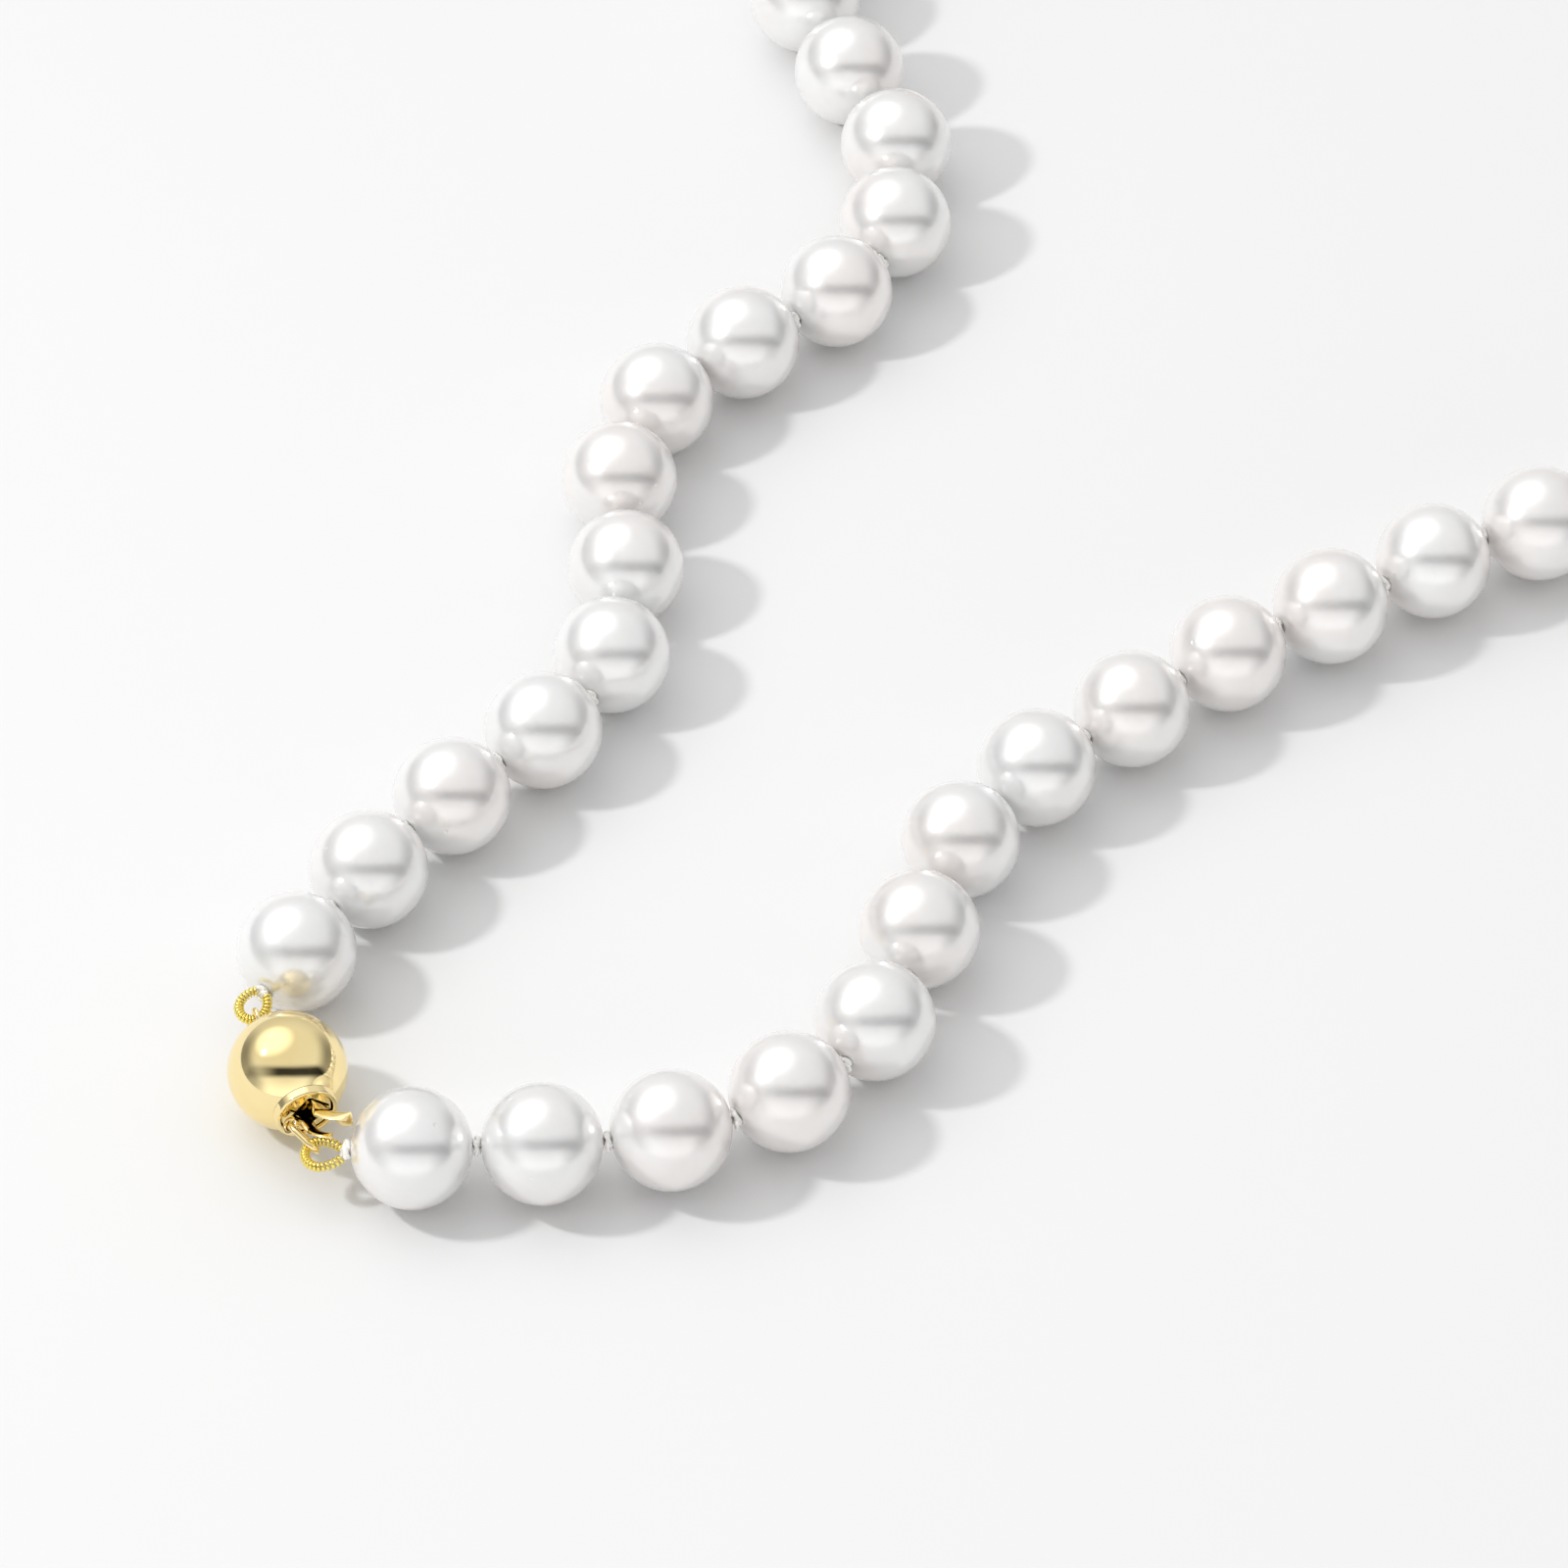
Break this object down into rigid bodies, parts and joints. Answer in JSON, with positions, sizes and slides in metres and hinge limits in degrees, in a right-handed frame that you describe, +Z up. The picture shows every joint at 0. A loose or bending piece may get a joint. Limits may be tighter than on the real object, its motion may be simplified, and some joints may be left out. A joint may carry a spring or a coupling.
{
  "type": "pearl necklace",
  "caption": "Knotted single-strand pearl necklace with a round ball clasp, laid open; every bead bends at its knot and the clasp tongue slides out.",
  "frame": {"origin": "middle of the laid-out strand's footprint, on the surface it lies on", "axes": "+Z up from the surface, +Y away from the clasp along the strand's longest extent, +X to the right"},
  "size_m": [0.1346, 0.1584, 0.0082],
  "materials": {
    "pearl": "gloss",
    "polished_gold": "polished",
    "french_wire_gold": "satin",
    "silk": "matte"
  },
  "bodies": {
    "clasp_ball": {"clasp_ball_shell": "polished_gold", "clasp_collar": "polished_gold", "clasp_slot_plate": "polished_gold", "clasp_rear_eye": "polished_gold", "silk_cord": "silk"},
    "tongue": {"tongue_body": "polished_gold"},
    "spring_leaf": {"tongue_spring_leaf": "polished_gold"},
    "tongue_ring": {"tongue_ring": "polished_gold"},
    "french_wire_right": {"french_wire_right": "french_wire_gold"},
    "french_wire_left": {"french_wire_left": "french_wire_gold"},
    "pearl_left_01": {"pearl_left_01": "pearl"},
    "pearl_left_02": {"pearl_left_02": "pearl"},
    "pearl_left_03": {"pearl_left_03": "pearl"},
    "pearl_left_04": {"pearl_left_04": "pearl"},
    "pearl_left_05": {"pearl_left_05": "pearl"},
    "pearl_left_06": {"pearl_left_06": "pearl"},
    "pearl_left_07": {"pearl_left_07": "pearl"},
    "pearl_left_08": {"pearl_left_08": "pearl"},
    "pearl_left_09": {"pearl_left_09": "pearl"},
    "pearl_left_10": {"pearl_left_10": "pearl"},
    "pearl_left_11": {"pearl_left_11": "pearl"},
    "pearl_left_12": {"pearl_left_12": "pearl"},
    "pearl_left_13": {"pearl_left_13": "pearl"},
    "pearl_left_14": {"pearl_left_14": "pearl"},
    "pearl_left_15": {"pearl_left_15": "pearl"},
    "pearl_left_16": {"pearl_left_16": "pearl"},
    "pearl_left_17": {"pearl_left_17": "pearl"},
    "pearl_left_18": {"pearl_left_18": "pearl"},
    "pearl_left_19": {"pearl_left_19": "pearl"},
    "pearl_left_20": {"pearl_left_20": "pearl"},
    "pearl_left_21": {"pearl_left_21": "pearl"},
    "pearl_left_22": {"pearl_left_22": "pearl"},
    "pearl_left_23": {"pearl_left_23": "pearl"},
    "pearl_left_24": {"pearl_left_24": "pearl"},
    "pearl_left_25": {"pearl_left_25": "pearl"},
    "pearl_right_01": {"pearl_right_01": "pearl"},
    "pearl_right_02": {"pearl_right_02": "pearl"},
    "pearl_right_03": {"pearl_right_03": "pearl"},
    "pearl_right_04": {"pearl_right_04": "pearl"},
    "pearl_right_05": {"pearl_right_05": "pearl"},
    "pearl_right_06": {"pearl_right_06": "pearl"},
    "pearl_right_07": {"pearl_right_07": "pearl"},
    "pearl_right_08": {"pearl_right_08": "pearl"},
    "pearl_right_09": {"pearl_right_09": "pearl"},
    "pearl_right_10": {"pearl_right_10": "pearl"},
    "pearl_right_11": {"pearl_right_11": "pearl"},
    "pearl_right_12": {"pearl_right_12": "pearl"},
    "pearl_right_13": {"pearl_right_13": "pearl"},
    "pearl_right_14": {"pearl_right_14": "pearl"},
    "pearl_right_15": {"pearl_right_15": "pearl"},
    "pearl_right_16": {"pearl_right_16": "pearl"},
    "pearl_right_17": {"pearl_right_17": "pearl"},
    "pearl_right_18": {"pearl_right_18": "pearl"},
    "pearl_right_19": {"pearl_right_19": "pearl"},
    "pearl_right_20": {"pearl_right_20": "pearl"},
    "pearl_right_21": {"pearl_right_21": "pearl"},
    "pearl_right_22": {"pearl_right_22": "pearl"},
    "pearl_right_23": {"pearl_right_23": "pearl"},
    "pearl_right_24": {"pearl_right_24": "pearl"},
    "pearl_right_25": {"pearl_right_25": "pearl"}
  },
  "joints": [
    {"name": "clasp_slide", "type": "slide", "parent": "clasp_ball", "child": "tongue", "axis": [0.3665, -0.9304, 0], "range_m": [0, 0.0075], "deforming": ["silk_cord"]},
    {"name": "spring_leaf_press", "type": "hinge", "parent": "tongue", "child": "spring_leaf", "pos_m": [-0.06387, -0.06646, 0.00398], "axis": [0.6693, 0.2636, -0.6947], "range_deg": [0, 5], "stiffness_Nm_per_rad": 0.2},
    {"name": "tongue_ring_turn", "type": "hinge", "parent": "tongue", "child": "tongue_ring", "pos_m": [-0.06279, -0.07345, 0.00417], "axis": [0, 0, -1], "range_deg": [0, 6]},
    {"name": "french_wire_right_turn", "type": "hinge", "parent": "tongue_ring", "child": "french_wire_right", "pos_m": [-0.06114, -0.07479, 0.0036], "axis": [0, 0, -1], "range_deg": [0, 8]},
    {"name": "french_wire_left_turn", "type": "hinge", "parent": "clasp_ball", "child": "french_wire_left", "pos_m": [-0.06559, -0.06391, 0.00405], "axis": [0, 0, 1], "range_deg": [0, 8]},
    {"name": "knot_left_01", "type": "hinge", "parent": "french_wire_left", "child": "pearl_left_01", "pos_m": [-0.06524, -0.06203, 0.0041], "axis": [0, 0, 1], "range_deg": [0, 10], "deforming": ["silk_cord"]},
    {"name": "knot_right_01", "type": "hinge", "parent": "french_wire_right", "child": "pearl_right_01", "pos_m": [-0.05904, -0.07543, 0.0041], "axis": [0, 0, -1], "range_deg": [0, 10], "deforming": ["silk_cord"]},
    {"name": "knot_left_02", "type": "hinge", "parent": "pearl_left_01", "child": "pearl_left_02", "pos_m": [-0.06089, -0.05456, 0.0041], "axis": [0, 0, 1], "range_deg": [0, 10], "deforming": ["silk_cord"]},
    {"name": "knot_right_02", "type": "hinge", "parent": "pearl_right_01", "child": "pearl_right_02", "pos_m": [-0.0504, -0.07512, 0.0041], "axis": [0, 0, -1], "range_deg": [0, 10], "deforming": ["silk_cord"]},
    {"name": "knot_left_03", "type": "hinge", "parent": "pearl_left_02", "child": "pearl_left_03", "pos_m": [-0.05599, -0.04743, 0.0041], "axis": [0, 0, 1], "range_deg": [0, 10], "deforming": ["silk_cord"]},
    {"name": "knot_right_03", "type": "hinge", "parent": "pearl_right_02", "child": "pearl_right_03", "pos_m": [-0.04176, -0.07469, 0.0041], "axis": [0, 0, -1], "range_deg": [0, 10], "deforming": ["silk_cord"]},
    {"name": "knot_left_04", "type": "hinge", "parent": "pearl_left_03", "child": "pearl_left_04", "pos_m": [-0.04991, -0.04128, 0.0041], "axis": [0, 0, 1], "range_deg": [0, 10], "deforming": ["silk_cord"]},
    {"name": "knot_right_04", "type": "hinge", "parent": "pearl_right_03", "child": "pearl_right_04", "pos_m": [-0.03332, -0.07281, 0.0041], "axis": [0, 0, -1], "range_deg": [0, 10], "deforming": ["silk_cord"]},
    {"name": "knot_left_05", "type": "hinge", "parent": "pearl_left_04", "child": "pearl_left_05", "pos_m": [-0.04363, -0.03534, 0.0041], "axis": [0, 0, 1], "range_deg": [0, 8], "deforming": ["silk_cord"]},
    {"name": "knot_right_05", "type": "hinge", "parent": "pearl_right_04", "child": "pearl_right_05", "pos_m": [-0.02607, -0.0681, 0.0041], "axis": [0, 0, -1], "range_deg": [0, 10], "deforming": ["silk_cord"]},
    {"name": "knot_left_06", "type": "hinge", "parent": "pearl_left_05", "child": "pearl_left_06", "pos_m": [-0.04063, -0.02722, 0.0041], "axis": [0, 0, 1], "range_deg": [0, 6], "deforming": ["silk_cord"]},
    {"name": "knot_right_06", "type": "hinge", "parent": "pearl_right_05", "child": "pearl_right_06", "pos_m": [-0.02178, -0.06059, 0.0041], "axis": [0, 0, -1], "range_deg": [0, 10], "deforming": ["silk_cord"]},
    {"name": "knot_left_07", "type": "hinge", "parent": "pearl_left_06", "child": "pearl_left_07", "pos_m": [-0.04188, -0.01867, 0.0041], "axis": [0, 0, 1], "range_deg": [0, 10], "deforming": ["silk_cord"]},
    {"name": "knot_right_07", "type": "hinge", "parent": "pearl_right_06", "child": "pearl_right_07", "pos_m": [-0.01992, -0.05214, 0.0041], "axis": [0, 0, -1], "range_deg": [0, 10], "deforming": ["silk_cord"]},
    {"name": "knot_left_08", "type": "hinge", "parent": "pearl_left_07", "child": "pearl_left_08", "pos_m": [-0.04175, -0.01002, 0.0041], "axis": [0, 0, 1], "range_deg": [0, 10], "deforming": ["silk_cord"]},
    {"name": "knot_right_08", "type": "hinge", "parent": "pearl_right_07", "child": "pearl_right_08", "pos_m": [-0.01592, -0.04447, 0.0041], "axis": [0, 0, -1], "range_deg": [0, 10], "deforming": ["silk_cord"]},
    {"name": "knot_left_09", "type": "hinge", "parent": "pearl_left_08", "child": "pearl_left_09", "pos_m": [-0.03673, -0.00298, 0.0041], "axis": [0, 0, 1], "range_deg": [0, 10], "deforming": ["silk_cord"]},
    {"name": "knot_right_09", "type": "hinge", "parent": "pearl_right_08", "child": "pearl_right_09", "pos_m": [-0.0092, -0.03903, 0.0041], "axis": [0, 0, -1], "range_deg": [0, 10], "deforming": ["silk_cord"]},
    {"name": "knot_left_10", "type": "hinge", "parent": "pearl_left_09", "child": "pearl_left_10", "pos_m": [-0.02934, 0.00152, 0.0041], "axis": [0, 0, 1], "range_deg": [0, 10], "deforming": ["silk_cord"]},
    {"name": "knot_right_10", "type": "hinge", "parent": "pearl_right_09", "child": "pearl_right_10", "pos_m": [-0.00246, -0.03361, 0.0041], "axis": [0, 0, -1], "range_deg": [0, 10], "deforming": ["silk_cord"]},
    {"name": "knot_left_11", "type": "hinge", "parent": "pearl_left_10", "child": "pearl_left_11", "pos_m": [-0.02307, 0.00748, 0.0041], "axis": [0, 0, 1], "range_deg": [0, 4], "deforming": ["silk_cord"]},
    {"name": "knot_right_11", "type": "hinge", "parent": "pearl_right_10", "child": "pearl_right_11", "pos_m": [0.00463, -0.02866, 0.0041], "axis": [0, 0, -1], "range_deg": [0, 10], "deforming": ["silk_cord"]},
    {"name": "knot_left_12", "type": "hinge", "parent": "pearl_left_11", "child": "pearl_left_12", "pos_m": [-0.02063, 0.01577, 0.0041], "axis": [0, 0, 1], "range_deg": [0, 4], "deforming": ["silk_cord"]},
    {"name": "knot_right_12", "type": "hinge", "parent": "pearl_right_11", "child": "pearl_right_12", "pos_m": [0.0123, -0.02465, 0.0041], "axis": [0, 0, -1], "range_deg": [0, 10], "deforming": ["silk_cord"]},
    {"name": "knot_left_13", "type": "hinge", "parent": "pearl_left_12", "child": "pearl_left_13", "pos_m": [-0.0228, 0.02414, 0.0041], "axis": [0, 0, 1], "range_deg": [0, 10], "deforming": ["silk_cord"]},
    {"name": "knot_right_13", "type": "hinge", "parent": "pearl_right_12", "child": "pearl_right_13", "pos_m": [0.01957, -0.01997, 0.0041], "axis": [0, 0, -1], "range_deg": [0, 10], "deforming": ["silk_cord"]},
    {"name": "knot_left_14", "type": "hinge", "parent": "pearl_left_13", "child": "pearl_left_14", "pos_m": [-0.02746, 0.03143, 0.0041], "axis": [0, 0, 1], "range_deg": [0, 10], "deforming": ["silk_cord"]},
    {"name": "knot_right_14", "type": "hinge", "parent": "pearl_right_13", "child": "pearl_right_14", "pos_m": [0.02782, -0.01738, 0.0041], "axis": [0, 0, -1], "range_deg": [0, 10], "deforming": ["silk_cord"]},
    {"name": "knot_left_15", "type": "hinge", "parent": "pearl_left_14", "child": "pearl_left_15", "pos_m": [-0.02937, 0.03987, 0.0041], "axis": [0, 0, 1], "range_deg": [0, 10], "deforming": ["silk_cord"]},
    {"name": "knot_right_15", "type": "hinge", "parent": "pearl_right_14", "child": "pearl_right_15", "pos_m": [0.03595, -0.01441, 0.0041], "axis": [0, 0, -1], "range_deg": [0, 10], "deforming": ["silk_cord"]},
    {"name": "knot_left_16", "type": "hinge", "parent": "pearl_left_15", "child": "pearl_left_16", "pos_m": [-0.0265, 0.04802, 0.0041], "axis": [0, 0, 1], "range_deg": [0, 10], "deforming": ["silk_cord"]},
    {"name": "knot_right_16", "type": "hinge", "parent": "pearl_right_15", "child": "pearl_right_16", "pos_m": [0.04351, -0.01021, 0.0041], "axis": [0, 0, -1], "range_deg": [0, 10], "deforming": ["silk_cord"]},
    {"name": "knot_left_17", "type": "hinge", "parent": "pearl_left_16", "child": "pearl_left_17", "pos_m": [-0.02212, 0.05548, 0.0041], "axis": [0, 0, 1], "range_deg": [0, 10], "deforming": ["silk_cord"]},
    {"name": "knot_right_17", "type": "hinge", "parent": "pearl_right_16", "child": "pearl_right_17", "pos_m": [0.05015, -0.00467, 0.0041], "axis": [0, 0, -1], "range_deg": [0, 10], "deforming": ["silk_cord"]},
    {"name": "knot_left_18", "type": "hinge", "parent": "pearl_left_17", "child": "pearl_left_18", "pos_m": [-0.01651, 0.06206, 0.0041], "axis": [0, 0, 1], "range_deg": [0, 10], "deforming": ["silk_cord"]},
    {"name": "knot_right_18", "type": "hinge", "parent": "pearl_right_17", "child": "pearl_right_18", "pos_m": [0.0556, 0.00205, 0.0041], "axis": [0, 0, -1], "range_deg": [0, 10], "deforming": ["silk_cord"]},
    {"name": "knot_left_19", "type": "hinge", "parent": "pearl_left_18", "child": "pearl_left_19", "pos_m": [-0.00983, 0.06757, 0.0041], "axis": [0, 0, 1], "range_deg": [0, 10], "deforming": ["silk_cord"]},
    {"name": "knot_right_19", "type": "hinge", "parent": "pearl_right_18", "child": "pearl_right_19", "pos_m": [0.05977, 0.00962, 0.0041], "axis": [0, 0, -1], "range_deg": [0, 10], "deforming": ["silk_cord"]},
    {"name": "knot_left_20", "type": "hinge", "parent": "pearl_left_19", "child": "pearl_left_20", "pos_m": [-0.00222, 0.07167, 0.0041], "axis": [0, 0, 1], "range_deg": [0, 10], "deforming": ["silk_cord"]},
    {"name": "knot_right_20", "type": "hinge", "parent": "pearl_right_19", "child": "pearl_right_20", "pos_m": [0.06243, 0.01785, 0.0041], "axis": [0, 0, -1], "range_deg": [0, 10], "deforming": ["silk_cord"]},
    {"name": "knot_left_21", "type": "hinge", "parent": "pearl_left_20", "child": "pearl_left_21", "pos_m": [0.00599, 0.07439, 0.0041], "axis": [0, 0, 1], "range_deg": [0, 10], "deforming": ["silk_cord"]},
    {"name": "knot_right_21", "type": "hinge", "parent": "pearl_right_20", "child": "pearl_right_21", "pos_m": [0.06361, 0.02642, 0.0041], "axis": [0, 0, -1], "range_deg": [0, 10], "deforming": ["silk_cord"]},
    {"name": "knot_left_22", "type": "hinge", "parent": "pearl_left_21", "child": "pearl_left_22", "pos_m": [0.01456, 0.0755, 0.0041], "axis": [0, 0, 1], "range_deg": [0, 10], "deforming": ["silk_cord"]},
    {"name": "knot_right_22", "type": "hinge", "parent": "pearl_right_21", "child": "pearl_right_22", "pos_m": [0.06315, 0.03506, 0.0041], "axis": [0, 0, -1], "range_deg": [0, 10], "deforming": ["silk_cord"]},
    {"name": "knot_left_23", "type": "hinge", "parent": "pearl_left_22", "child": "pearl_left_23", "pos_m": [0.0232, 0.07506, 0.0041], "axis": [0, 0, 1], "range_deg": [0, 10], "deforming": ["silk_cord"]},
    {"name": "knot_right_23", "type": "hinge", "parent": "pearl_right_22", "child": "pearl_right_23", "pos_m": [0.06115, 0.04347, 0.0041], "axis": [0, 0, -1], "range_deg": [0, 10], "deforming": ["silk_cord"]},
    {"name": "knot_left_24", "type": "hinge", "parent": "pearl_left_23", "child": "pearl_left_24", "pos_m": [0.03162, 0.07306, 0.0041], "axis": [0, 0, 1], "range_deg": [0, 10], "deforming": ["silk_cord"]},
    {"name": "knot_right_24", "type": "hinge", "parent": "pearl_right_23", "child": "pearl_right_24", "pos_m": [0.05765, 0.05138, 0.0041], "axis": [0, 0, -1], "range_deg": [0, 10], "deforming": ["silk_cord"]},
    {"name": "knot_left_25", "type": "hinge", "parent": "pearl_left_24", "child": "pearl_left_25", "pos_m": [0.03951, 0.06951, 0.0041], "axis": [0, 0, 1], "range_deg": [0, 10], "deforming": ["silk_cord"]},
    {"name": "knot_right_25", "type": "hinge", "parent": "pearl_right_24", "child": "pearl_right_25", "pos_m": [0.05274, 0.0585, 0.0041], "axis": [0, 0, -1], "range_deg": [0, 10], "deforming": ["silk_cord"]}
  ]
}
